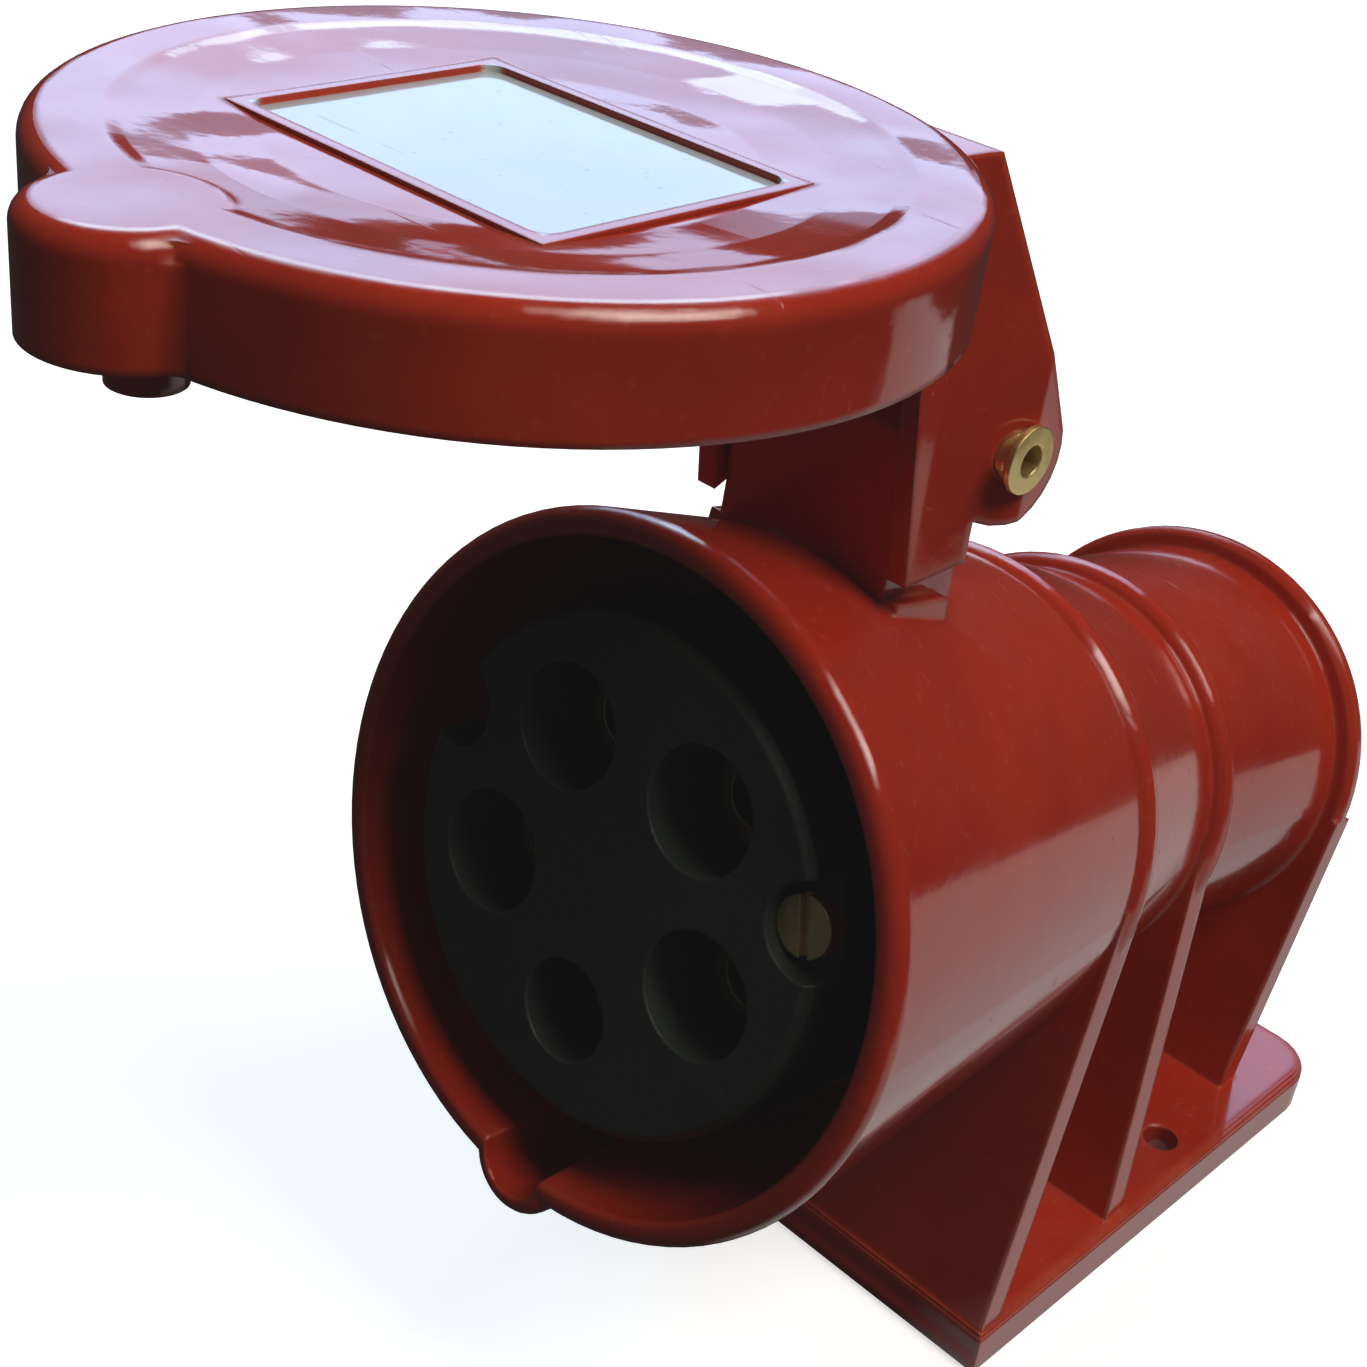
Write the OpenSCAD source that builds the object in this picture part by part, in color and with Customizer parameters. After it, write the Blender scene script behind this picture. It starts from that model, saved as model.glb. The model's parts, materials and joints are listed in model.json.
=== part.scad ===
// Surface-mounted five-pole pin-and-sleeve outlet: an inclined barrel on a webbed foot, with a hinged lid.
// Origin: centre of the underside of the foot. +Z is the foot's normal, +Y runs towards the cable entry.

/* [Barrel] */
// Inner radius of the mouth that takes the plug's shroud
mouth_r = 32.5; // [31.5:0.1:33]
// Outer radius of the rim around the mouth
rim_r = 35.2; // [34.9:0.1:36]
// Outer radius at the back of the front barrel
shoulder_r = 28.6; // [28.2:0.1:29.5]
// Distance from the rim to the shoulder
shoulder_y = 52.2; // [51.8:0.1:54]
// Outer radius of the rear barrel
rear_r = 23.8; // [23.6:0.1:24.4]
// Outer radius of the flange at the rear end
flange_r = 26.2; // [25.8:0.1:27]
// Distance from the rim to the rear end of the barrel
rear_y = 112; // [111:0.5:114]
// Angle between the barrel's axis and the foot
tilt = 12.5; // [11:0.5:14]

/* [Foot] */
// Distance from the barrel's axis down to the foot at the front web
foot_drop = 58.9; // [58:0.1:60]
// Half the width of the foot
foot_half = 31.2; // [30.8:0.1:33]
// Length of the foot
foot_len = 75; // [72:0.5:78]
// Thickness of the foot plate
foot_t = 6; // [5:0.5:7]
// Thickness of the three webs
web_t = 3.4; // [3:0.1:4.5]
// Half the distance between the two fixing holes
fix_x = 26; // [25:0.5:26.5]
// Distance of the fixing holes behind the front edge of the foot
fix_y = 44; // [36:1:48]
// Radius of the fixing holes
fix_r = 2.2; // [2:0.1:2.6]

/* [Lid] */
// Outer radius of the lid
lid_r = 34.2; // [33.8:0.1:35]
// Height of the lid, from its outer face to the edge of its skirt
lid_h = 8.8; // [8:0.1:9.5]
// How far the lid stands open in the rest position, in degrees
lid_open = 78.4; // [60:0.2:79]
// Outer face of the hinge cheeks at their inner edge, from the centre plane
cheek_x = 12.4; // [12.2:0.1:13]
// Outer face of the right hinge cheek at the pin, from the centre plane
knuckle_x = 17; // [16.5:0.1:17.5]
// Outer face of the left hinge cheek at the pin, from the centre plane
far_knuckle_x = 13.6; // [13.2:0.1:17]

/* [Contacts] */
// Radius of the circle the five contacts sit on
pitch_r = 14.75; // [14.4:0.05:15]
// Outer radius of the contact carrier
carrier_r = 25.45; // [25.2:0.05:25.5]
// Recess of the carrier's face behind the rim
carrier_y = 1.5; // [1:0.1:3]
// Radius of the openings in the carrier's face
entry_r = 6.2; // [5.8:0.1:6.3]
// Radius of the pins that enter the phase and neutral contacts
pin_bore_r = 3.1; // [3:0.05:3.3]
// Radius of the pin that enters the earth contact
earth_bore_r = 3.6; // [3.5:0.05:3.7]

/* [Cable entry] */
// Outer radius of the gland's thread through the rear wall
gland_r = 10; // [9.5:0.1:10.2]
// Radius of the cable the gland seals on
cable_r = 6.5; // [5:0.1:7]

/* [Hidden] */
$fn = 96;
wall = 2.4;
eps = 0.05;
gap = 0.15;
hinge_y = 22;
hinge_z = 48.2;
pin_r = 2.4;
pin_hole_r = pin_r + eps;
rim_round = 1.6;
groove_y = 34;
groove_r = shoulder_r + (rim_r - shoulder_r) * (shoulder_y - groove_y) / shoulder_y - wall;
bore_r = carrier_r + 0.1;
bore_y = 52;
ring_r = 20.5;
ring_end_y = 62;
chamber_r = 21.4;
rear_wall_y = rear_y - 3.5;
web2_y = 77;
web3_y = rear_y - web_t;
carrier_back_y = 50.3;
plate_back_y = 60;
screw_r = 1.75;
screw_at = 22.9;
screw_angle = 72;
screw_seats = [[-1, 11], [1, 5.5]];
screw_head_r = 3;
sleeve_r = 5.2;
nose_r = 4.4;
nose_y = 10;
sleeve_y = 16.2;
sleeve_depth = 36;
tail_y = 76;
wire_r = 2.8;
tail_r = 4;
clamp_y = 69;
clamp_lean = 10;
lug_half = 10.2;
spring_half = 4.2;
lid_face_y = -9;
lid_edge_y = lid_face_y + lid_h;
lid_skirt_t = 3.2;
nub_at = 32;
nub_r = 7.2;
peg_at = 30.8;
peg_r = 2.8;
peg_h = 3.6;
lobe_r = 5.6;
lobe_at = 32.6;
key_r = 3.9;
rib = 0.8;
contact_angles = [-36, 36, 108, -108];
earth_angle = 180;
foot_front_y = shoulder_y + 0.6;
foot_origin_y = foot_front_y + foot_len / 2 * cos(tilt);
foot_origin_z = -foot_drop + foot_len / 2 * sin(tilt);

// ---- placing helpers ----

// Moves a shape from the barrel's frame into the part's frame.
module placed() {
    rotate([-tilt, 0, 0])
        translate([0, -foot_origin_y, -foot_origin_z])
            children();
}

// Moves a shape drawn on the foot (front edge at y = 0, underside at z = 0) into the part's frame.
module on_foot() {
    translate([0, -foot_len / 2, 0])
        children();
}

// Turns a shape drawn for the closed lid to its open rest position.
module opened() {
    translate([0, hinge_y, hinge_z])
        rotate([-lid_open, 0, 0])
            translate([0, -hinge_y, -hinge_z])
                children();
}

// Lays an extrusion along the barrel's axis, starting at distance y behind the rim.
module along(y = 0) {
    translate([0, y, 0])
        rotate([-90, 0, 0])
            children();
}

// A cylinder on the barrel's axis from y0 to y1.
module rod(r, y0, y1) {
    along(y0)
        cylinder(h = y1 - y0, r = r);
}

// A tube on the barrel's axis from y0 to y1.
module tube(r_out, r_in, y0, y1) {
    along(y0)
        linear_extrude(y1 - y0)
            difference() {
                circle(r = r_out);
                circle(r = r_in);
            }
}

// Puts a shape at a clock angle on a circle round the barrel's axis.
module at_clock(angle, radius) {
    rotate([0, angle, 0])
        translate([0, 0, radius])
            children();
}

// A cylinder across the hinge from x0 to x1.
module cross_rod(r, x0, x1, y = hinge_y, z = hinge_z) {
    translate([x0, y, z])
        rotate([0, 90, 0])
            cylinder(h = x1 - x0, r = r);
}

// A prism across the hinge, drawn as [y, z] points, from x0 to x1.
module cross_prism(points, x0, x1) {
    translate([x0, 0, 0])
        rotate([90, 0, 90])
            linear_extrude(x1 - x0)
                polygon(points);
}

// Points of a rounded front edge on a round solid, as [radius, distance behind its face].
function round_edge(radius, edge) =
    [for (a = [0:15:90]) [radius - edge, edge] + edge * [sin(a), -cos(a)]];

// A round boss with a rounded front edge, beside a disc at the origin.
module boss(at, r, height, edge) {
    translate([0, at, 0])
        rotate_extrude()
            polygon(concat(
                [[0, 0]],
                round_edge(r, edge),
                [[r, height], [0, height]]
            ));
}

// Fillets in the two corners between a disc at the origin and a boss beside it.
module boss_fillets(disc_r, at, r, fillet, height, edge) {
    for (turn = [40, 90]) {
        inset = edge * (1 - sin(turn));
        depth = edge * (1 - cos(turn));
        translate([0, 0, depth])
            linear_extrude(height - depth - eps)
                for (flip = [0, 1])
                    mirror([flip, 0, 0])
                        fillet_plan(disc_r - inset, at, r - inset, fillet + inset);
    }
}

// Plan of the fillet between a disc at the origin and a boss at [0, at], on one side of the boss.
module fillet_plan(disc_r, at, r, fillet) {
    to_disc = disc_r + fillet;
    to_boss = r + fillet;
    lean = acos((to_disc * to_disc + at * at - to_boss * to_boss) / (2 * to_disc * at));
    centre = to_disc * [sin(lean), cos(lean)];
    disc_end = 270 - lean;
    boss_end = 180 + atan2(centre[1] - at, centre[0]);
    polygon(concat(
        [[0, at - r / 2], 0.85 * disc_r / to_disc * centre],
        [
            for (step = [0:1/6:1.01])
                let(a = disc_end + (boss_end - disc_end) * step)
                    centre + (fillet + eps) * [cos(a), sin(a)]
        ],
        [[0, at] + 0.7 * r / to_boss * (centre - [0, at])]
    ));
}

// ---- housing ----

// Outline of the barrel's outside as [radius, distance behind the rim].
module barrel_outline() {
    polygon(concat(
        [[0, 0]],
        round_edge(rim_r, rim_round),
        [[shoulder_r, shoulder_y - 0.6]],
        rib_outline(shoulder_r, shoulder_y, 0.6),
        rib_outline(rear_r + 0.5, web2_y, 0.9),
        [
            [rear_r, web3_y],
            [flange_r - 0.8, web3_y],
            [flange_r, web3_y + 0.8],
            [flange_r, rear_y - 1.4],
            [flange_r - 1.4, rear_y],
            [0, rear_y]
        ]
    ));
}

// Points of a rounded rib as thick as a web that stands out by a height.
function rib_outline(radius, y, height) =
    [for (a = [0:30:180]) [radius - rib + (height + rib) * sin(a), y + web_t / 2 - web_t / 2 * cos(a)]];

// Outline of the hollow inside the barrel as [radius, distance behind the rim].
module hollow_outline() {
    polygon([
        [0, -1],
        [mouth_r + 0.4, -1],
        [mouth_r + 0.4, 0],
        [mouth_r, 0.4],
        [groove_r, groove_y],
        [bore_r, groove_y],
        [bore_r, bore_y],
        [ring_r, bore_y],
        [ring_r, ring_end_y],
        [chamber_r, ring_end_y + 1],
        [chamber_r, rear_wall_y],
        [0, rear_wall_y]
    ]);
}

// One web: a plate across the barrel's axis that joins the barrel to the foot.
module web(y, barrel_r, foot_x) {
    floor_z = -foot_drop + (y - shoulder_y) * tan(tilt) + 1;
    reach = sqrt(foot_x * foot_x + floor_z * floor_z);
    side = atan2(floor_z, foot_x) + acos(barrel_r / reach);
    touch = barrel_r * [cos(side), sin(side)];
    translate([0, y + web_t, 0])
        rotate([90, 0, 0])
            linear_extrude(web_t)
                polygon([
                    [-foot_x, floor_z],
                    [foot_x, floor_z],
                    touch,
                    [0, 0],
                    [-touch[0], touch[1]]
                ]);
}

// Foot plate with rounded corners, a rounded top edge and two fixing holes.
module foot() {
    edge = 1.2;
    corner = 6;
    difference() {
        union() {
            for (layer = [0:4]) {
                linear_extrude(foot_t - edge + edge * sin(layer * 22.5))
                    foot_outline(corner, edge * (1 - cos(layer * 22.5)));
            }
        }
        for (side = [-1, 1])
            translate([side * fix_x, fix_y, -1])
                cylinder(h = foot_t + 2, r = fix_r);
    }
}

// Plan of the foot plate, drawn in by an inset: square front corners, rounded rear corners.
module foot_outline(corner, inset) {
    half = foot_half - inset;
    polygon(concat(
        [[-half, inset], [half, inset]],
        [
            for (a = [0:15:90])
                [foot_half - corner, foot_len - corner] + (corner - inset) * [cos(a), sin(a)]
        ],
        [
            for (a = [90:15:180])
                [corner - foot_half, foot_len - corner] + (corner - inset) * [cos(a), sin(a)]
        ]
    ));
}

// Block behind the rim that carries the hinge pin.
module hinge_lug() {
    cross_prism([[17.8, 26], [18, 32], [26, 32], [27.5, 26]], -11.8, 11.8);
    difference() {
        cross_prism([
            [18.4, 26],
            [16.9, 36],
            [13.4, 48],
            [14.2, 51.5],
            [17, 54],
            [21, 54.6],
            [25.5, 53.4],
            [28, 50],
            [28.6, 46],
            [27, 38],
            [30, 26]
        ], -lug_half, lug_half);
        cross_prism([[17.2, 41.5], [33, 41.5], [33, 60], [17.2, 60]], -spring_half, spring_half);
        cross_rod(pin_hole_r, -lug_half - 1, lug_half + 1);
    }
}

module housing() {
    color([0.62, 0.12, 0.07])
        placed()
            difference() {
                union() {
                    along()
                        rotate_extrude()
                            barrel_outline();
                    along()
                        boss(lobe_at, lobe_r, groove_y, rim_round);
                    web(shoulder_y, shoulder_r, foot_half - 0.4);
                    web(web2_y, rear_r, foot_half - 0.6);
                    web(web3_y, flange_r, flange_r - 0.6);
                    hinge_lug();
                    translate([0, foot_origin_y, foot_origin_z])
                        rotate([tilt, 0, 0])
                            on_foot()
                                foot();
                }
                along()
                    rotate_extrude()
                        hollow_outline();
                along(-1)
                    translate([0, lobe_at - 0.2, 0])
                        cylinder(h = groove_y, r = key_r);
                for (side = [-1, 1])
                    at_clock(side * screw_angle, screw_at)
                        rod(screw_r + eps, bore_y - 1, ring_end_y - 0.5);
                rod(gland_r + gap, rear_wall_y - 1, rear_y + 1);
            }
}

// ---- lid ----

// One hinge cheek of the closed lid: flat inside, and wider outside towards the pin.
module cheek(side, pin_x) {
    reach = 6.2;
    outline = concat(
        [[lid_edge_y - 5, lid_r - 4], [lid_face_y + 3.6, lid_r + 6.7], [12.6, 49.3]],
        [for (a = [110:-15:-25]) [hinge_y + 0.6, hinge_z - 0.6] + reach * [cos(a), sin(a)]],
        [[32.2, 45], [34.4, 39.8], [15.4, 37.1], [lid_edge_y, 36.4], [lid_edge_y, lid_r - 4]]
    );
    intersection() {
        cross_prism(outline, -knuckle_x - 1, knuckle_x + 1);
        translate([0, lid_face_y, 0])
            along()
                linear_extrude(60)
                    scale([side, -1])
                        polygon([
                            [lug_half + 0.5, 20],
                            [cheek_x - 0.6, 20],
                            [cheek_x - 0.2, 35],
                            [cheek_x + 0.6, 40],
                            [pin_x, hinge_z + 1],
                            [pin_x, hinge_z + 12],
                            [lug_half + 0.5, hinge_z + 12]
                        ]);
    }
}

module lid_shape() {
    difference() {
        union() {
            along(lid_face_y)
                rotate_extrude()
                    polygon(concat(
                        [[0, 1.2], [18, 1.2], [23, 0.8], [27.4, 0.25], [28.6, 0]],
                        round_edge(lid_r, rim_round),
                        [[lid_r, lid_h], [0, lid_h]]
                    ));
            along(lid_face_y) {
                boss(nub_at, nub_r, lid_h, rim_round);
                boss_fillets(lid_r, nub_at, nub_r, 2.6, lid_h, rim_round);
            }
            translate([0, lid_edge_y - 5, -peg_at])
                along()
                    cylinder(h = 5 + peg_h, r = peg_r);
            cheek(1, knuckle_x);
            cheek(-1, far_knuckle_x);
            cross_prism([
                [lid_edge_y - 5, lid_r - 4],
                [lid_face_y + 3.6, lid_r + 6.7],
                [7.6, 48.7],
                [9, 46.4],
                [lid_edge_y, 40.5],
                [lid_edge_y, lid_r - 4]
            ], -cheek_x + 0.8, cheek_x - 0.8);
        }
        rod(lid_r - lid_skirt_t, lid_face_y + 3.6, lid_edge_y + 1);
        tube(lid_r - 0.6, lid_r - 2.6, lid_edge_y - 1.6, lid_edge_y + 1);
        translate([-17, lid_face_y - 1, -13])
            cube([34, 3, 26]);
        cross_rod(pin_hole_r, -knuckle_x - 1, knuckle_x + 1);
    }
}

module lid() {
    color([0.66, 0.14, 0.08])
        placed()
            opened()
                lid_shape();
}

module lid_gasket() {
    color([0.06, 0.06, 0.06])
        placed()
            opened()
                tube(lid_r - 0.65, lid_r - 2.55, lid_edge_y - 1.55, lid_edge_y + 0.05);
}

// Plan of a rectangle with rounded corners, centred on the origin.
module rounded_plan(width, height, corner) {
    square([width, height - 2 * corner], center = true);
    square([width - 2 * corner, height], center = true);
    for (x = [-1, 1])
        for (y = [-1, 1])
            translate([x * (width / 2 - corner), y * (height / 2 - corner)])
                circle(r = corner);
}

module label_plate() {
    color([0.6, 0.12, 0.07])
        placed()
            opened()
                difference() {
                    translate([-16.9, lid_face_y + 0.9, -12.9])
                        cube([33.8, 1.05, 25.8]);
                    along(lid_face_y)
                        linear_extrude(1.4)
                            rounded_plan(31.6, 23.6, 1.6);
                }
}

// ---- hinge ----

module hinge_pin() {
    color([0.78, 0.62, 0.26])
        placed()
            difference() {
                union() {
                    cross_rod(pin_r, -far_knuckle_x - 0.1, knuckle_x + 0.1);
                    cross_rod(3.2, knuckle_x + 0.1, knuckle_x + 0.7);
                    cross_rod(3.2, -far_knuckle_x - 0.7, -far_knuckle_x - 0.1);
                }
                cross_rod(1.5, -knuckle_x - 1, knuckle_x + 1);
            }
}

// One flat-wire coil wound round the hinge pin, with a short leg against the lug.
module hinge_spring() {
    turns = 5;
    pitch = 1.5;
    length = turns * pitch;
    color([0.5, 0.5, 0.52])
        placed()
            translate([-length / 2, hinge_y, hinge_z])
                rotate([0, 90, 0])
                    linear_extrude(length, twist = -360 * turns, slices = turns * 20, $fn = 12)
                        polygon(concat(
                            [for (a = [0:33:165]) 4.4 * [cos(a), sin(a)]],
                            [for (a = [165:-33:0]) 3.2 * [cos(a), sin(a)]]
                        ));
}

module hinge_washers() {
    color([0.75, 0.75, 0.77])
        placed()
            for (side = [-1, 1])
                difference() {
                    cross_rod(5, side * (lug_half + 0.25) - 0.15, side * (lug_half + 0.25) + 0.15);
                    cross_rod(pin_hole_r, -lug_half - 1, lug_half + 1);
                }
}

// ---- contact carrier ----

module carrier() {
    color([0.07, 0.1, 0.1])
        placed()
            difference() {
                along(carrier_y)
                    rotate_extrude()
                        polygon([
                            [0, 0],
                            [carrier_r - 0.8, 0],
                            [carrier_r, 0.8],
                            [carrier_r, carrier_back_y - carrier_y],
                            [0, carrier_back_y - carrier_y]
                        ]);
                for (a = contact_angles)
                    at_clock(a, pitch_r)
                        contact_room(entry_r, sleeve_r);
                at_clock(earth_angle, pitch_r)
                    contact_room(entry_r - 1, sleeve_r - 0.6);
                for (seat = screw_seats)
                    at_clock(seat[0] * screw_angle, 0) {
                        translate([0, 0, screw_at + 1.6])
                            rod(4.7, 0, seat[1]);
                        translate([0, 0, screw_at])
                            rod(screw_r + gap, 0, carrier_back_y + 1);
                    }
            }
}

// Space for one contact: a wide opening in the face and a close channel behind it.
module contact_room(open_r, channel_r) {
    rod(open_r, 0, sleeve_y);
    rod(channel_r + eps, sleeve_y - 1, carrier_back_y + 1);
}

module carrier_back_plate() {
    color([0.16, 0.18, 0.2])
        placed()
            difference() {
                rod(ring_r - 0.3, carrier_back_y + eps, plate_back_y);
                for (a = concat(contact_angles, [earth_angle]))
                    at_clock(a, pitch_r)
                        rod(tail_r + eps, carrier_back_y, plate_back_y + 1);
            }
}

module carrier_seal() {
    color([0.05, 0.05, 0.05])
        placed()
            difference() {
                tube(carrier_r, ring_r + 0.1, carrier_back_y + eps, bore_y - eps);
                for (side = [-1, 1])
                    at_clock(side * screw_angle, screw_at)
                        rod(screw_r + gap, carrier_back_y - 1, bore_y + 1);
            }
}

// A sleeve contact: nose, sleeve, tail and a screw terminal at the back.
module contact(angle, body_r, bore) {
    at_clock(angle, pitch_r)
        difference() {
            union() {
                rod(min(nose_r, body_r - 0.4), nose_y, sleeve_y + 1);
                rod(body_r, sleeve_y + 0.1, carrier_back_y - eps);
                rod(tail_r, carrier_back_y - 1, plate_back_y + 0.2);
                rod(4.6, plate_back_y + 0.1, tail_y);
            }
            rod(bore, nose_y - 1, nose_y + sleeve_depth);
            rod(wire_r, plate_back_y + 2, tail_y + 1);
            rotate([0, clamp_lean, 0])
                translate([0, clamp_y, 0])
                    cylinder(h = 8, r = 2.05);
        }
}

module contact_l1() {
    color([0.8, 0.65, 0.3])
        placed()
            contact(contact_angles[0], sleeve_r, pin_bore_r);
}

module contact_l2() {
    color([0.8, 0.65, 0.3])
        placed()
            contact(contact_angles[1], sleeve_r, pin_bore_r);
}

module contact_l3() {
    color([0.8, 0.65, 0.3])
        placed()
            contact(contact_angles[2], sleeve_r, pin_bore_r);
}

module contact_neutral() {
    color([0.8, 0.65, 0.3])
        placed()
            contact(contact_angles[3], sleeve_r, pin_bore_r);
}

module contact_earth() {
    color([0.8, 0.65, 0.3])
        placed()
            contact(earth_angle, sleeve_r - 0.6, earth_bore_r);
}

// Spring rings that squeeze the noses of the sleeves.
module contact_rings() {
    color([0.6, 0.6, 0.62])
        placed() {
            for (a = contact_angles)
                at_clock(a, pitch_r)
                    tube(5.5, nose_r + eps, nose_y + 1, nose_y + 4);
            at_clock(earth_angle, pitch_r)
                tube(5, sleeve_r - 1 + eps, nose_y + 1, nose_y + 4);
        }
}

// Slotted grub screws that hold the wires.
module terminal_screws() {
    color([0.7, 0.7, 0.72])
        placed()
            for (a = concat(contact_angles, [earth_angle]))
                at_clock(a, pitch_r)
                    rotate([0, clamp_lean, 0])
                        translate([0, clamp_y, wire_r])
                            difference() {
                                cylinder(h = 3.4, r = 2);
                                translate([-3, -0.4, 2.4])
                                    cube([6, 0.8, 2]);
                            }
}

// The two long screws that pull the carrier into the housing.
module carrier_screws() {
    color([0.8, 0.66, 0.3])
        placed()
            for (seat = screw_seats)
                at_clock(seat[0] * screw_angle, screw_at)
                    difference() {
                        union() {
                            rod(screw_head_r, seat[1] - 2.4, seat[1]);
                            rod(screw_r, seat[1] - 1, ring_end_y - 1);
                        }
                        translate([-4, seat[1] - 3, -0.45])
                            cube([8, 1.6, 0.9]);
                    }
}

// ---- cable gland ----

module gland_body() {
    color([0.2, 0.2, 0.21])
        placed()
            difference() {
                union() {
                    rod(gland_r, rear_wall_y - 8, rear_y + 1);
                    rod(13, rear_y + eps, rear_y + 5);
                    rod(10.2, rear_y + 4, rear_y + 12);
                }
                rod(cable_r + 1, rear_wall_y - 9, rear_y + 13);
                rod(9, rear_y + 4, rear_y + 13);
            }
}

module gland_seal() {
    color([0.04, 0.04, 0.04])
        placed()
            tube(8.9, cable_r, rear_y + 4.1, rear_y + 12.2);
}

module gland_nut() {
    color([0.2, 0.2, 0.21])
        placed()
            along(rear_y)
                difference() {
                    rotate_extrude()
                        polygon([
                            [cable_r + 0.5, 14],
                            [cable_r + 0.5, 18.5],
                            [10.5, 18.5],
                            [12.4, 16],
                            [12.4, 5.2],
                            [10.25, 5.2],
                            [10.25, 13],
                            [9.2, 14]
                        ]);
                    for (a = [0:60:300])
                        rotate([0, 0, a])
                            translate([11.9, -8, 5])
                                cube([3, 16, 8]);
                }
}

module gland_locknut() {
    color([0.2, 0.2, 0.21])
        placed()
            difference() {
                along(rear_wall_y - 5.05)
                    linear_extrude(5)
                        circle(r = 13.5, $fn = 6);
                rod(gland_r + eps, rear_wall_y - 6, rear_wall_y + 1);
            }
}

housing();
lid();
lid_gasket();
label_plate();
hinge_pin();
hinge_spring();
hinge_washers();
carrier();
carrier_back_plate();
carrier_seal();
contact_l1();
contact_l2();
contact_l3();
contact_neutral();
contact_earth();
contact_rings();
terminal_screws();
carrier_screws();
gland_body();
gland_seal();
gland_nut();
gland_locknut();
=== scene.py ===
import json
import math

import bpy
from mathutils import Matrix, Vector


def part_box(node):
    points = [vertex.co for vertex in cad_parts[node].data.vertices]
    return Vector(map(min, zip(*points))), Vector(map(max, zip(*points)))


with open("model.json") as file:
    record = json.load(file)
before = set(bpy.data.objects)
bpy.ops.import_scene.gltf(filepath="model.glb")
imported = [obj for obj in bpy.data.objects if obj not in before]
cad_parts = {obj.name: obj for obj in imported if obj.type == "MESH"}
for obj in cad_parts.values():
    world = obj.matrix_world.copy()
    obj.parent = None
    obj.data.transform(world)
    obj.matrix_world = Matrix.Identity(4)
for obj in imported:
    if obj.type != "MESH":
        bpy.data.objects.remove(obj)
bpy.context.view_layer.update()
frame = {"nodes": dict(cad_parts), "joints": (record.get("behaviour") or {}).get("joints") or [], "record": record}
nodes = frame["nodes"]

# ---- the barrel's own frame: the gland nut turns on the barrel's axis ----
NUT_DEPTH = 0.125  # from the mouth to the nut, along the barrel
nut_turn = next(joint for joint in frame["joints"] if joint["name"] == "gland_nut_turn")
SIDE = Vector((1.0, 0.0, 0.0))
ALONG = Vector(nut_turn["axis"])
ABOVE = SIDE.cross(ALONG)
MOUTH = Vector(nut_turn["pos_m"]) - ALONG * NUT_DEPTH


def barrel_dir(x, y, z):
    """A direction in the barrel's frame, turned into the part's frame."""
    return SIDE * x + ALONG * y + ABOVE * z


def barrel_point(x, y, z):
    """A point in metres from the middle of the barrel's mouth, in the part's frame."""
    return MOUTH + barrel_dir(x, y, z)


# ---- small helper for node materials ----
BEVEL_SAMPLES = 6
EDGE_TURN = (0.99, 0.82)  # cosine between the flat and the rounded normal, where wear starts and is full
FACES_UP = (0.2, 1.0)  # upward part of the normal, where dust starts and is full


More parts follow.
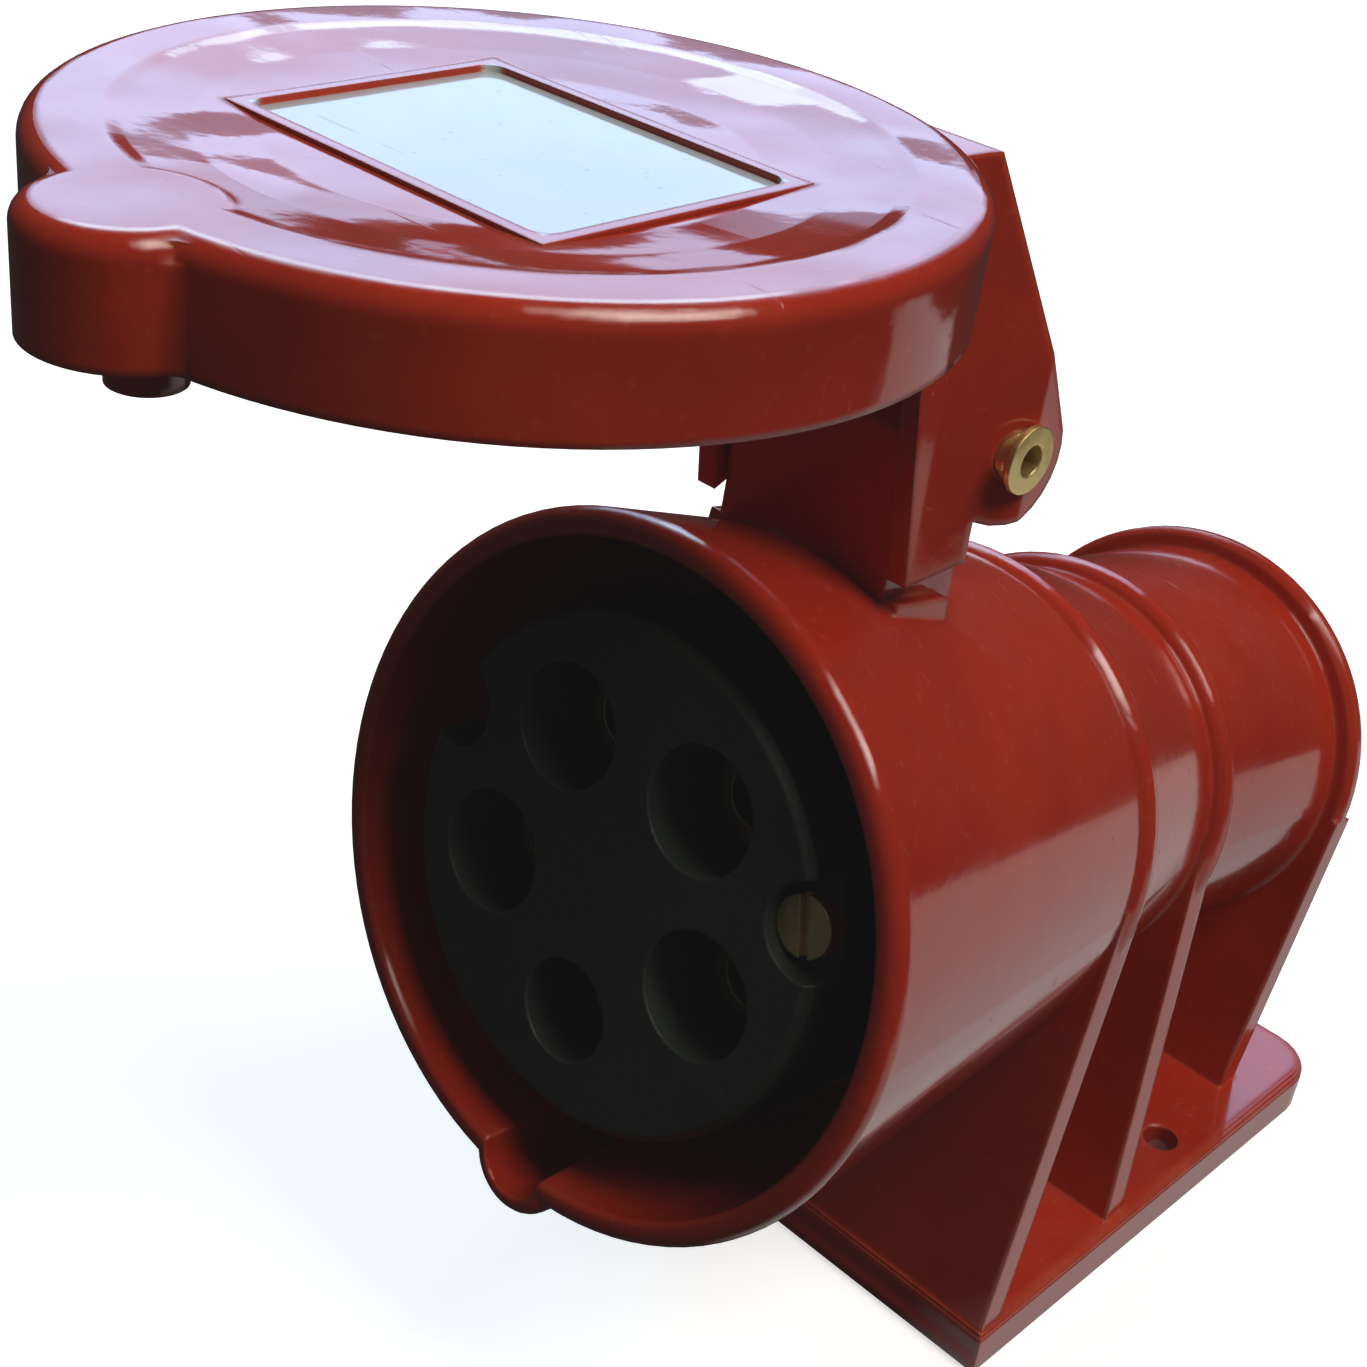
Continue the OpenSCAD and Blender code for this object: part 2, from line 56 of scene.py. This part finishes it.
class Graph:
    """Builds a material's nodes. Values may be numbers, colours or the outputs of other nodes."""

    def __init__(self, name):
        self.mat = bpy.data.materials.new(name)
        self.mat.use_nodes = True
        self.tree = self.mat.node_tree
        self.bsdf = self.tree.nodes["Principled BSDF"]
        self.coords = self.node("TexCoord").outputs["Object"]

    def node(self, kind):
        return self.tree.nodes.new("ShaderNode" + kind)

    def put(self, socket, value):
        if isinstance(value, bpy.types.NodeSocket):
            self.tree.links.new(value, socket)
        elif isinstance(value, tuple) and len(value) == 3 and socket.type == "RGBA":
            socket.default_value = (*value, 1.0)
        else:
            socket.default_value = value

    def shade(self, **values):
        for name, value in values.items():
            self.put(self.bsdf.inputs[name.replace("_", " ")], value)

    def stretched(self, scale, turn=(0.0, 0.0, 0.0)):
        n = self.node("Mapping")
        self.put(n.inputs["Vector"], self.coords)
        n.inputs["Scale"].default_value = scale
        n.inputs["Rotation"].default_value = turn
        return n.outputs["Vector"]

    def noise(self, scale, detail=3.0, rough=0.55, vector=None, distortion=0.0):
        """Random patches, about as many to the metre as the scale says."""
        n = self.node("TexNoise")
        self.put(n.inputs["Vector"], vector or self.coords)
        n.inputs["Scale"].default_value = scale
        n.inputs["Detail"].default_value = detail
        n.inputs["Roughness"].default_value = rough
        n.inputs["Distortion"].default_value = distortion
        return n.outputs["Fac"]

    def calc(self, op, a, b=0.0):
        n = self.node("Math")
        n.operation = op
        self.put(n.inputs[0], a)
        self.put(n.inputs[1], b)
        return n.outputs[0]

    def times(self, a, b):
        return self.calc("MULTIPLY", a, b)

    def span(self, value, source, target=(0.0, 1.0)):
        """Carries a value from the source range to the target range, and keeps it there."""
        n = self.node("MapRange")
        n.clamp = True
        self.put(n.inputs["Value"], value)
        self.put(n.inputs["From Min"], source[0])
        self.put(n.inputs["From Max"], source[1])
        self.put(n.inputs["To Min"], target[0])
        self.put(n.inputs["To Max"], target[1])
        return n.outputs[0]

    def mix(self, fac, a, b):
        """Blends two colours, which this node takes at its inputs 6 and 7 and gives at its output 2."""
        n = self.node("Mix")
        n.data_type = "RGBA"
        self.put(n.inputs[0], fac)
        self.put(n.inputs[6], a)
        self.put(n.inputs[7], b)
        return n.outputs[2]

    def split(self, vector):
        """The vector's parts, as outputs named X, Y and Z."""
        n = self.node("SeparateXYZ")
        self.put(n.inputs[0], vector)
        return n.outputs

    def edge(self, radius):
        """0 on flat faces and up to 1 along edges, and the rounded normal that goes with it."""
        bevel = self.node("Bevel")
        bevel.samples = BEVEL_SAMPLES
        bevel.inputs["Radius"].default_value = radius
        dot = self.node("VectorMath")
        dot.operation = "DOT_PRODUCT"
        self.put(dot.inputs[0], bevel.outputs["Normal"])
        self.put(dot.inputs[1], self.node("NewGeometry").outputs["Normal"])
        return self.span(dot.outputs["Value"], EDGE_TURN), bevel.outputs["Normal"]

    def upward(self):
        """How much a surface faces up, for dust."""
        normal = self.node("NewGeometry").outputs["Normal"]
        return self.span(self.split(normal)["Z"], FACES_UP)

    def bump(self, height, strength, distance, normal=None):
        n = self.node("Bump")
        n.inputs["Strength"].default_value = strength
        n.inputs["Distance"].default_value = distance
        self.put(n.inputs["Height"], height)
        if normal is not None:
            self.put(n.inputs["Normal"], normal)
        return n.outputs["Normal"]


def brighter(color, factor, lift=0.0):
    return tuple(min(1.0, c * factor + lift) for c in color)


# ---- red plastic: housing, lid and label plate ----
DEEP_RED = (0.42, 0.024, 0.009)
MID_RED = (0.58, 0.042, 0.014)
LID_RED = (0.60, 0.046, 0.015)
WORN_RED = (0.80, 0.17, 0.08)
DUST = (0.55, 0.47, 0.45)
CLEAR_COAT = {"Specular_IOR_Level": 0.6, "Coat_Weight": 0.35, "Coat_Roughness": 0.05}
# Patches to the metre
RED_CLOUDS = 26.0
RED_FLECKS = 900.0
RED_RUBS = 120.0
RED_DUST = 70.0
RED_HAIRLINES = 60.0
RED_HAZE = 45.0
RED_SWELLS = 60.0
RED_GRAIN = 420.0
# Metres
RED_EDGE = 0.0009
RED_WAVE = 0.00012
LID_WAVE = 0.0014
SKIN_HEIGHT = 0.00002
# What a hairline scratch adds to the roughness, and to the grain's height
SCRATCH_ROUGHNESS = 0.18
SCRATCH_HEIGHT = -0.5


def red_plastic(g, bright, radius=RED_EDGE, wave=RED_WAVE, gloss=1.0):
    """Glossy moulded plastic: mottled red, pale rubbed edges, hairline scratches, a little dust.

    Returns the colour, roughness and normal, so that a label can be laid over them.
    """
    cloud = g.noise(RED_CLOUDS, detail=4.0, rough=0.6, distortion=0.4)
    fleck = g.noise(RED_FLECKS, detail=2.0, rough=0.6)
    body = g.mix(g.span(cloud, (0.3, 0.7)), DEEP_RED, bright)
    body = g.mix(g.span(fleck, (0.62, 0.8), (0.0, 0.2)), body, WORN_RED)

    edge, rounded = g.edge(radius)
    rub = g.span(g.noise(RED_RUBS, detail=4.0, rough=0.7), (0.35, 0.7), (0.1, 0.6))
    body = g.mix(g.times(edge, rub), body, WORN_RED)
    settled = g.span(g.noise(RED_DUST, detail=5.0, rough=0.7), (0.5, 0.85), (0.0, 0.08))
    body = g.mix(g.times(g.upward(), settled), body, DUST)

    streaks = g.stretched((1.0, 14.0, 9.0), turn=(0.3, 0.5, 0.7))
    hairline = g.noise(RED_HAIRLINES, detail=2.0, rough=0.5, vector=streaks)
    scratch = g.span(hairline, (0.71, 0.76))
    patchy = g.noise(RED_HAZE, detail=5.0, rough=0.65)
    haze = g.span(patchy, (0.35, 0.75), (0.10 * gloss, 0.20 * gloss))
    rough = g.calc("ADD", haze, g.times(scratch, SCRATCH_ROUGHNESS))

    swell = g.bump(g.noise(RED_SWELLS, detail=1.0, rough=0.4), 1.0, wave, rounded)
    grain = g.noise(RED_GRAIN, detail=2.0, rough=0.5)
    skin = g.calc("ADD", grain, g.times(scratch, SCRATCH_HEIGHT))
    return body, rough, g.bump(skin, 1.0, SKIN_HEIGHT, swell)


def plain_red(name, bright, wave=RED_WAVE, gloss=1.0):
    g = Graph(name)
    body, rough, normal = red_plastic(g, bright, wave=wave, gloss=gloss)
    g.shade(Base_Color=body, Roughness=rough, Normal=normal, **CLEAR_COAT)
    return g.mat


LABEL_FRAME = 0.0011  # width of the red frame round the label field
LABEL_FADE = 0.0002
LABEL_DARK = (0.52, 0.56, 0.56)
LABEL_LIGHT = (0.62, 0.65, 0.64)
LABEL_SPECK = (0.30, 0.22, 0.24)
LABEL_CLOUDS = 55.0
LABEL_SPECKS = 600.0


def label_red(name):
    """Red frame round a blank, pale, smooth label field."""
    g = Graph(name)
    body, rough, normal = red_plastic(g, MID_RED, radius=0.0005, wave=0.0002, gloss=0.8)
    low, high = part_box("label_plate")
    centre = (low + high) / 2
    place = g.split(g.coords)
    field = 1.0
    for axis, middle, reach in zip("XY", centre, high - centre):
        half = reach - LABEL_FRAME
        away = g.calc("ABSOLUTE", g.calc("SUBTRACT", place[axis], middle))
        field = g.times(field, g.span(away, (half, half - LABEL_FADE)))
    cloud = g.span(g.noise(LABEL_CLOUDS, detail=4.0, rough=0.6), (0.35, 0.7))
    speck = g.span(g.noise(LABEL_SPECKS, detail=2.0, rough=0.6), (0.68, 0.75), (0.0, 0.5))
    pale = g.mix(speck, g.mix(cloud, LABEL_DARK, LABEL_LIGHT), LABEL_SPECK)
    g.shade(Base_Color=g.mix(field, body, pale), Roughness=rough, Normal=normal, **CLEAR_COAT)
    return g.mat


# ---- the other materials ----
MATT_CLOUDS = 60.0
MATT_RUBS = 150.0
MATT_GRAIN = 700.0
MATT_EDGE = 0.0005


def dull_plastic(name, dark, light, roughness):
    """Matt moulded plastic: grainy, cloudy, with paler edges."""
    g = Graph(name)
    cloud = g.noise(MATT_CLOUDS, detail=4.0, rough=0.6)
    edge, rounded = g.edge(MATT_EDGE)
    rub = g.span(g.noise(MATT_RUBS), (0.4, 0.75), (0.1, 0.6))
    body = g.mix(g.span(cloud, (0.3, 0.72)), dark, light)
    body = g.mix(g.times(edge, rub), body, brighter(light, 2.2, 0.03))
    grain = g.noise(MATT_GRAIN, detail=3.0, rough=0.6)
    g.shade(Base_Color=body, Roughness=g.span(cloud, (0.3, 0.7), roughness),
            Normal=g.bump(grain, 0.25, 0.0004, rounded))
    return g.mat


TARNISH_PATCHES = 160.0
TURNING_MARKS = 1500.0
METAL_EDGE = 0.0003


def metal(name, clean, tarnished, roughness):
    """Turned metal: turning marks, patches of tarnish, bright edges."""
    g = Graph(name)
    patch = g.span(g.noise(TARNISH_PATCHES, detail=5.0, rough=0.65), (0.42, 0.68))
    edge, rounded = g.edge(METAL_EDGE)
    body = g.mix(patch, clean, tarnished)
    body = g.mix(g.times(edge, 0.7), body, clean)
    long_ways = g.stretched((1.0, 0.12, 0.12))
    marks = g.noise(TURNING_MARKS, detail=2.0, rough=0.5, vector=long_ways)
    g.shade(Base_Color=body, Metallic=1.0, Roughness=g.span(patch, (0.0, 1.0), roughness),
            Normal=g.bump(marks, 0.2, 0.0003, rounded))
    return g.mat


BLOOM_PATCHES = 90.0
RUBBER_GRAIN = 800.0
RUBBER_EDGE = 0.0004


def rubber(name, dark, light, roughness):
    """Soft black rubber with a chalky bloom."""
    g = Graph(name)
    bloom = g.span(g.noise(BLOOM_PATCHES, detail=5.0, rough=0.7), (0.4, 0.75))
    edge, rounded = g.edge(RUBBER_EDGE)
    body = g.mix(bloom, dark, light)
    body = g.mix(g.times(edge, 0.3), body, brighter(light, 2.0))
    g.shade(Base_Color=body, Roughness=g.span(bloom, (0.0, 1.0), roughness),
            Normal=g.bump(g.noise(RUBBER_GRAIN), 0.3, 0.0004, rounded))
    return g.mat


# Each slot's maker, its two colours (dark and light, or clean and tarnished) and its range of roughness.
# The red ones take a bright colour, and the lid also how far it waves and how much haze it has.
LOOKS = {
    "housing_plastic": (plain_red, MID_RED),
    "lid_plastic": (plain_red, LID_RED, LID_WAVE, 0.5),
    "label_plastic": (label_red,),
    "carrier_plastic": (dull_plastic, (0.020, 0.030, 0.024), (0.036, 0.048, 0.038), (0.40, 0.58)),
    "back_plate_plastic": (dull_plastic, (0.02, 0.022, 0.025), (0.05, 0.055, 0.06), (0.5, 0.7)),
    "gland_plastic": (dull_plastic, (0.02, 0.02, 0.022), (0.045, 0.045, 0.05), (0.4, 0.6)),
    "black_rubber": (rubber, (0.008, 0.008, 0.008), (0.03, 0.03, 0.03), (0.55, 0.85)),
    "pin_brass": (metal, (0.98, 0.82, 0.36), (0.66, 0.50, 0.18), (0.40, 0.58)),
    "contact_brass": (metal, (0.80, 0.60, 0.25), (0.40, 0.28, 0.11), (0.25, 0.45)),
    "screw_brass": (metal, (0.98, 0.84, 0.42), (0.66, 0.52, 0.22), (0.42, 0.58)),
    "spring_steel": (metal, (0.55, 0.55, 0.57), (0.28, 0.27, 0.26), (0.25, 0.45)),
    "washer_steel": (metal, (0.68, 0.68, 0.70), (0.36, 0.34, 0.32), (0.25, 0.45)),
    "screw_steel": (metal, (0.62, 0.62, 0.64), (0.34, 0.32, 0.30), (0.25, 0.45)),
}
finishes = {slot: maker(slot, *values) for slot, (maker, *values) in LOOKS.items()}
for part in frame["record"]["subparts"]:
    mesh = nodes[part["node"]].data
    mesh.materials.clear()
    mesh.materials.append(finishes[part["material_slot"]])


# ---- camera: the photograph's viewing angle, in the barrel's frame ----
SENSOR_WIDTH = 36
FOCAL_LENGTH = 55.76
LENS_SHIFT = (0.0596, 0.0113)
CAMERA_PLACE = (0.1082, -0.1400, 0.09155)
CAMERA_AIM = (-0.5786, 0.7203, -0.3826)
CAMERA_RIGHT = (0.6899, 0.6825, 0.2415)


def add_camera():
    data = bpy.data.cameras.new("photo_view")
    data.sensor_width = SENSOR_WIDTH
    data.lens = FOCAL_LENGTH
    data.shift_x, data.shift_y = LENS_SHIFT
    back = -barrel_dir(*CAMERA_AIM).normalized()
    up = back.cross(barrel_dir(*CAMERA_RIGHT).normalized()).normalized()
    pose = Matrix((up.cross(back), up, back)).transposed().to_4x4()
    pose.translation = barrel_point(*CAMERA_PLACE)
    cam = bpy.data.objects.new("photo_view", data)
    cam.matrix_world = pose
    bpy.context.scene.collection.objects.link(cam)
    bpy.context.scene.camera = cam


# ---- floor, soft light and surroundings ----
FLOOR_HALF = 4.0
FLOOR_Z = -0.0002  # just under the foot, so that the two faces don't coincide
FLOOR_DARK = (0.78, 0.76, 0.72)
FLOOR_LIGHT = (0.82, 0.80, 0.76)
FLOOR_TONES = 3.0
FLOOR_GRAIN = 400.0
FLOOR_LIFT = 0.68  # glow that the camera sees on top of the lit paper
BARE_GLOW = 0.025  # glow of the floor round the lit sheet, as the part sees it
# The lit sheet: its reach, soft border and tint, and its glow as matt and as glossy surfaces see it
SHEET_REACH = {"X": (0.02, 0.22), "Y": (-0.09, 0.28)}
SHEET_BORDER = 0.012
SHEET_TINT = (1.0, 0.93, 0.90)
SHEET_GLOW = (0.02, 0.52)


def level_square(name, half, z):
    """A flat sheet that isn't part of the object."""
    mesh = bpy.data.meshes.new(name)
    corners = [(-half, -half, z), (half, -half, z), (half, half, z), (-half, half, z)]
    mesh.from_pydata(corners, [], [(0, 1, 2, 3)])
    sheet = bpy.data.objects.new(name, mesh)
    bpy.context.scene.collection.objects.link(sheet)
    return sheet


def add_floor():
    """Pale floor. The part sees it as dark, but for a lit sheet beside it that shows in the barrel's gloss."""
    g = Graph("floor_paper")
    tone = g.span(g.noise(FLOOR_TONES, detail=3.0, rough=0.5), (0.3, 0.7))
    g.shade(Base_Color=g.mix(tone, FLOOR_DARK, FLOOR_LIGHT), Roughness=0.8,
            Emission_Color=(1.0, 1.0, 1.0), Emission_Strength=FLOOR_LIFT,
            Normal=g.bump(g.noise(FLOOR_GRAIN), 0.05, 0.0005))
    place = g.split(g.coords)
    sheet = 1.0
    for axis, (low, high) in SHEET_REACH.items():
        for border, inside in ((low, low + SHEET_BORDER), (high, high - SHEET_BORDER)):
            sheet = g.times(sheet, g.span(place[axis], (border, inside)))
    rays = g.node("LightPath").outputs
    sheet_glow = g.times(sheet, g.span(rays["Is Glossy Ray"], (0.0, 1.0), SHEET_GLOW))
    glow = g.node("Emission")
    g.put(glow.inputs["Color"], SHEET_TINT)
    g.put(glow.inputs["Strength"], g.calc("ADD", BARE_GLOW, sheet_glow))
    choose = g.node("MixShader")
    g.put(choose.inputs[0], rays["Is Camera Ray"])
    g.put(choose.inputs[1], glow.outputs[0])
    g.put(choose.inputs[2], g.bsdf.outputs[0])
    g.put(g.tree.nodes["Material Output"].inputs["Surface"], choose.outputs[0])
    level_square("floor", FLOOR_HALF, FLOOR_Z).data.materials.append(g.mat)


LAMP_TARGET = Vector((0.0, 0.0, 0.09))
# Name, azimuth and elevation in degrees, distance, width and height in metres, colour, radiance
LAMPS = (
    ("window", 134, 31.5, 1.6, 1.42, 1.0, (0.48, 0.66, 1.0), 2.9),
    ("window_top", 142, 42, 1.55, 0.8, 0.5, (0.60, 0.88, 1.0), 4.5),
    ("room_light", 6, 59, 1.5, 0.7, 0.7, (1.0, 0.93, 0.85), 8.5),
)


def add_lamp(name, azimuth, elevation, distance, width, height, color, radiance):
    """A rectangular lamp aimed at the part, placed by its direction from the part."""
    az, el = math.radians(azimuth), math.radians(elevation)
    towards = Vector((math.cos(az) * math.cos(el), math.sin(az) * math.cos(el), math.sin(el)))
    data = bpy.data.lights.new(name, "AREA")
    data.shape = "RECTANGLE"
    data.size = width
    data.size_y = height
    data.color = color
    data.energy = radiance * math.pi * width * height
    lamp = bpy.data.objects.new(name, data)
    lamp.location = LAMP_TARGET + towards * distance
    lamp.rotation_euler = (-towards).to_track_quat("-Z", "Y").to_euler()
    bpy.context.scene.collection.objects.link(lamp)


WORLD_TINT = (1.0, 0.94, 0.94, 1.0)
# Strength of the surroundings on matt surfaces, in reflections, and behind the part as the camera sees them
WORLD_FILL = 0.055
WORLD_GLOSS = 0.03
WORLD_SEEN = 0.85


def add_world():
    """Surroundings: pale to the camera, soft fill for matt light, nearly dark in reflections."""
    world = bpy.data.worlds.new("studio")
    bpy.context.scene.world = world
    world.use_nodes = True
    tree = world.node_tree
    background = tree.nodes["Background"]
    background.inputs["Color"].default_value = WORLD_TINT
    rays = tree.nodes.new("ShaderNodeLightPath").outputs
    fill = tree.nodes.new("ShaderNodeMapRange")
    fill.inputs["To Min"].default_value = WORLD_FILL
    fill.inputs["To Max"].default_value = WORLD_GLOSS
    tree.links.new(rays["Is Glossy Ray"], fill.inputs["Value"])
    seen = tree.nodes.new("ShaderNodeMapRange")
    seen.inputs["To Max"].default_value = WORLD_SEEN
    tree.links.new(rays["Is Camera Ray"], seen.inputs["Value"])
    tree.links.new(fill.outputs[0], seen.inputs["To Min"])
    tree.links.new(seen.outputs[0], background.inputs["Strength"])


BLACK_LIFT = 0.005


def set_tones():
    """Plain display colours, with black lifted a little on the curve for all channels, which is the fourth."""
    look = bpy.context.scene.view_settings
    look.view_transform = "Standard"
    look.use_curve_mapping = True
    look.curve_mapping.curves[3].points[0].location = (0.0, BLACK_LIFT)
    look.curve_mapping.update()


add_camera()
add_floor()
for lamp in LAMPS:
    add_lamp(*lamp)
add_world()
set_tones()
